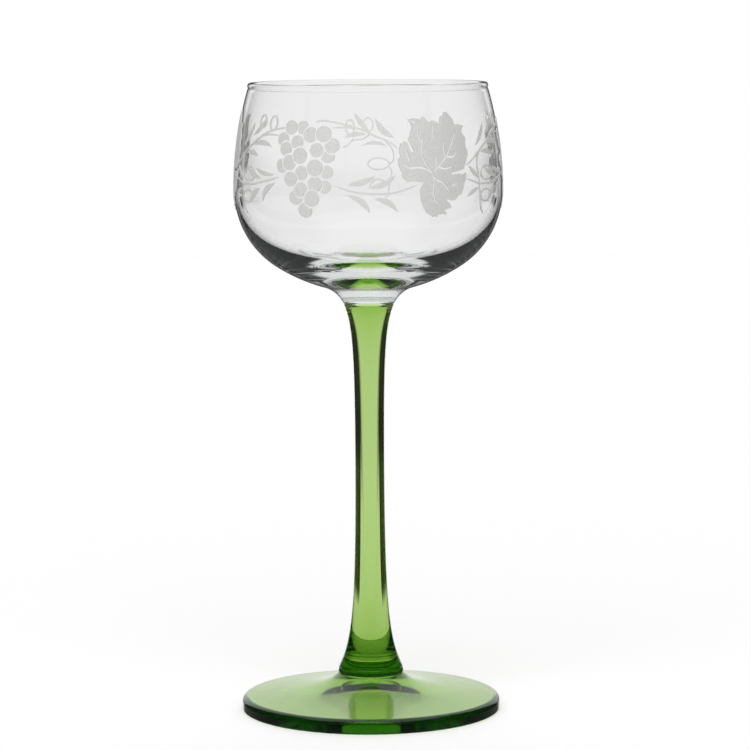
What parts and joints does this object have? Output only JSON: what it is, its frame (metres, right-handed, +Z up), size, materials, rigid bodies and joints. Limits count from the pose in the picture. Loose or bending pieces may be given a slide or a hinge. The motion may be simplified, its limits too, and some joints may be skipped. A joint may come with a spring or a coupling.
{
  "type": "wine glass",
  "caption": "Stemmed wine glass with a rounded clear bowl, a frieze of grapevine in satin enamel, and a slender green stem on a round green foot.",
  "frame": {"origin": "middle of the foot, on the table that it stands on", "axes": "+Z up along the glass's axis to the rim, +X to the right and -Y to the front, as the picture shows it"},
  "size_m": [0.068, 0.0678, 0.16],
  "materials": {
    "clear_glass": "clear, polished",
    "green_glass": "clear green, polished",
    "satin_enamel": "fired enamel, satin"
  },
  "bodies": {
    "root": {"bowl": "clear_glass", "stem": "green_glass", "foot": "green_glass", "vine_leaf_1": "satin_enamel", "vine_arm_1": "satin_enamel", "grape_bunch_1": "satin_enamel", "vine_runner": "satin_enamel", "vine_leaf_2": "satin_enamel", "vine_arm_2": "satin_enamel", "grape_bunch_2": "satin_enamel"}
  },
  "joints": []
}
